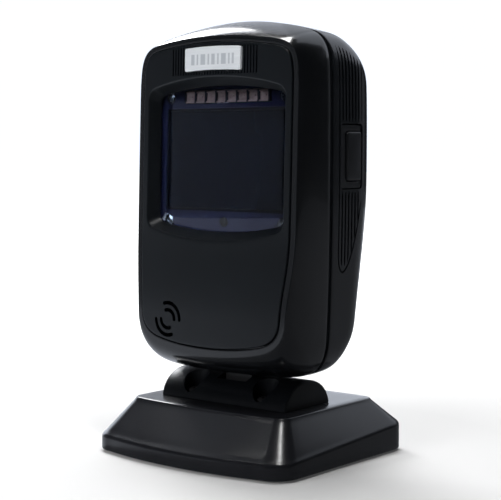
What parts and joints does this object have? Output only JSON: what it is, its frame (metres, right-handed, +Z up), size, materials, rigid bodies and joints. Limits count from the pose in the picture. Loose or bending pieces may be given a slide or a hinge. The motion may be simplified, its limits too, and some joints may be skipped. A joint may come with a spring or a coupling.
{
  "type": "desktop presentation barcode scanner",
  "caption": "Hands-free counter barcode scanner: an upright head with a recessed reading window, a side trigger key and a speaker, tilting on a low weighted base.",
  "frame": {"origin": "on the resting surface, under the middle of the base", "axes": "+Z up; the reading face looks along -Y; +X is the side with the trigger key"},
  "size_m": [0.0858, 0.079, 0.152],
  "materials": {
    "base_gloss": "gloss moulded, near-black",
    "front_gloss": "gloss moulded, near-black",
    "rear_gloss": "gloss moulded, near-black",
    "face_satin": "satin fine grain, blue-black",
    "key_satin": "satin, near-black",
    "neck_matte": "matte fine grain, black",
    "tilt_plastic": "satin glass-filled, black",
    "inner_matte": "matte moulded, black",
    "plate_steel": "black powder coat",
    "weight_iron": "as cast, lightly oiled",
    "soft_rubber": "matte, black",
    "screw_steel": "bright zinc",
    "screw_black": "black oxide",
    "axle_steel": "turned",
    "plate_silver": "satin silver foil",
    "window_tint": "clear with a grey-blue tint",
    "filter_dark": "very dark blue-grey",
    "board_blue": "satin solder mask, dark blue",
    "board_green": "satin solder mask, green",
    "reflector_copper": "semi-gloss, copper pink",
    "lens_glass": "coated",
    "ribbon_white": "satin film, off-white"
  },
  "bodies": {
    "base": {"base_shell": "base_gloss", "base_plate": "plate_steel", "base_weight": "weight_iron", "foot_1": "soft_rubber", "foot_2": "soft_rubber", "foot_3": "soft_rubber", "foot_4": "soft_rubber", "plate_screw_1": "screw_steel", "plate_screw_2": "screw_steel", "plate_screw_3": "screw_steel", "plate_screw_4": "screw_steel", "neck_saddle": "neck_matte", "neck_screw_1": "screw_black", "neck_screw_2": "screw_black", "neck_screw_3": "screw_black", "neck_screw_4": "screw_black", "tilt_axle": "axle_steel", "friction_washer_left": "axle_steel", "friction_washer_right": "axle_steel"},
    "head": {"front_shell": "front_gloss", "rear_shell": "rear_gloss", "face_panel": "face_satin", "key_frame": "key_satin", "tilt_bracket": "tilt_plastic", "optics_hood": "inner_matte", "camera_module": "inner_matte", "trigger_switch": "inner_matte", "cable_socket": "inner_matte", "buzzer": "inner_matte", "presence_sensor": "inner_matte", "seam_gasket": "soft_rubber", "bracket_screw_1": "screw_steel", "bracket_screw_2": "screw_steel", "led_board_screw_1": "screw_steel", "led_board_screw_2": "screw_steel", "led_board_screw_3": "screw_steel", "led_board_screw_4": "screw_steel", "main_board_screw_1": "screw_steel", "main_board_screw_2": "screw_steel", "main_board_screw_3": "screw_steel", "main_board_screw_4": "screw_steel", "shell_screw_1": "screw_black", "shell_screw_2": "screw_black", "shell_screw_3": "screw_black", "shell_screw_4": "screw_black", "name_plate": "plate_silver", "window_glass": "window_tint", "filter_pane": "filter_dark", "led_board": "board_blue", "led_strip": "board_green", "main_board": "board_green", "key_board": "board_green", "led_reflector": "reflector_copper", "camera_lens": "lens_glass", "ribbon_cable": "ribbon_white"},
    "key": {"trigger_key": "key_satin", "switch_plunger": "inner_matte"}
  },
  "joints": [
    {"name": "head_tilt", "type": "hinge", "parent": "base", "child": "head", "pos_m": [0, -0.0016, 0.0181], "axis": [1, 0, 0], "range_deg": [-15, 10]},
    {"name": "key_press", "type": "slide", "parent": "head", "child": "key", "axis": [-1, 0, 0], "range_m": [0, 0.001], "stiffness_N_per_m": 1500, "springref_m": -0.0004}
  ]
}
